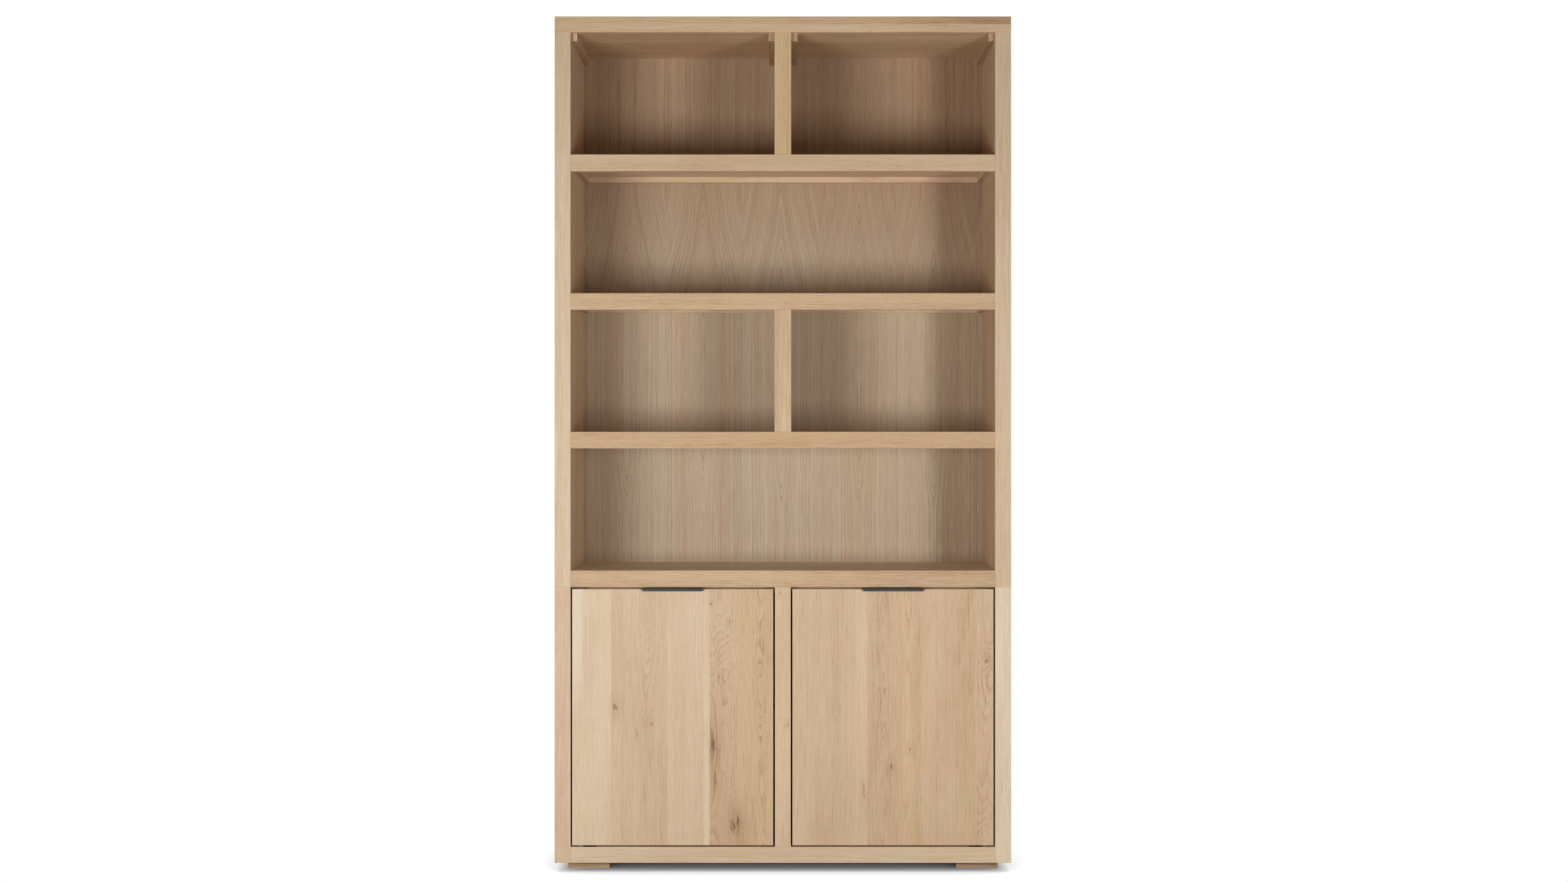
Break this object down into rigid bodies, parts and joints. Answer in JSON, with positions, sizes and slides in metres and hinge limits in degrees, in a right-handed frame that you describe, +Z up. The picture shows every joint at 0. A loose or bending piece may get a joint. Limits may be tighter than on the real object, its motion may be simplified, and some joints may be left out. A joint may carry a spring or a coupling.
{
  "type": "bookcase with cabinet doors",
  "caption": "Tall oak bookcase in stacked units: open bays with lipped shelves and dividers above, a cupboard with inset pivoting doors and dark edge pulls below.",
  "frame": {"origin": "on the floor, in the middle of the outline", "axes": "+Z up, the front faces -Y, +X to the right seen from the front"},
  "size_m": [1.2, 0.41, 2.25],
  "materials": {
    "oak": "solid oak, satin oil",
    "oak_veneer": "oak veneer on board, vertical grain, satin oil",
    "beech": "plain turned beech",
    "anthracite_metal": "matt anthracite powder coat",
    "zinc_steel": "zinc-plated steel",
    "brass_bush": "turned brass",
    "nylon": "dark moulded nylon"
  },
  "bodies": {
    "carcass": {"back_panel_screws": "zinc_steel", "bottom_board": "oak", "bottom_pivot_plates": "anthracite_metal", "centre_partition": "oak", "cleat_screws": "zinc_steel", "foot_screws": "zinc_steel", "front_left_foot": "oak", "front_right_foot": "oak", "hardware_screws": "zinc_steel", "joint_dowels": "beech", "left_loose_shelf": "oak", "locating_dowels": "beech", "lower_back_panel": "oak_veneer", "lower_left_side": "oak", "lower_left_top": "oak", "lower_right_side": "oak", "lower_right_top": "oak", "magnetic_catches": "nylon", "pivot_pins": "anthracite_metal", "rear_left_foot": "oak", "rear_right_foot": "oak", "right_loose_shelf": "oak", "shelf_1_back_cleat": "oak", "shelf_1_lip": "oak", "shelf_1_panel": "oak", "shelf_1_side_cleats": "oak", "shelf_2_back_cleat": "oak", "shelf_2_lip": "oak", "shelf_2_panel": "oak", "shelf_2_side_cleats": "oak", "shelf_3_back_cleat": "oak", "shelf_3_lip": "oak", "shelf_3_panel": "oak", "shelf_3_side_cleats": "oak", "shelf_pins": "zinc_steel", "third_row_divider": "oak", "thrust_washers": "nylon", "top_cap_board": "oak", "top_core_board": "oak", "top_pivot_plates": "anthracite_metal", "top_row_divider": "oak", "top_row_divider_cleats": "oak", "top_row_side_cleats": "oak", "upper_back_panel": "oak_veneer", "upper_base_back_cleat": "oak", "upper_base_lip": "oak", "upper_base_panel": "oak", "upper_base_side_cleats": "oak", "upper_left_side": "oak", "upper_right_side": "oak"},
    "left_door": {"left_door": "oak", "left_door_bushes": "brass_bush", "left_pull": "anthracite_metal", "left_pull_screws": "zinc_steel", "left_strike_plate": "zinc_steel"},
    "right_door": {"right_door": "oak", "right_door_bushes": "brass_bush", "right_pull": "anthracite_metal", "right_pull_screws": "zinc_steel", "right_strike_plate": "zinc_steel"}
  },
  "joints": [
    {"name": "left_door_swing", "type": "hinge", "parent": "carcass", "child": "left_door", "pos_m": [-0.532, -0.184, 0.408], "axis": [0, 0, -1], "range_deg": [0, 110]},
    {"name": "right_door_swing", "type": "hinge", "parent": "carcass", "child": "right_door", "pos_m": [0.532, -0.184, 0.408], "axis": [0, 0, 1], "range_deg": [0, 110]}
  ]
}
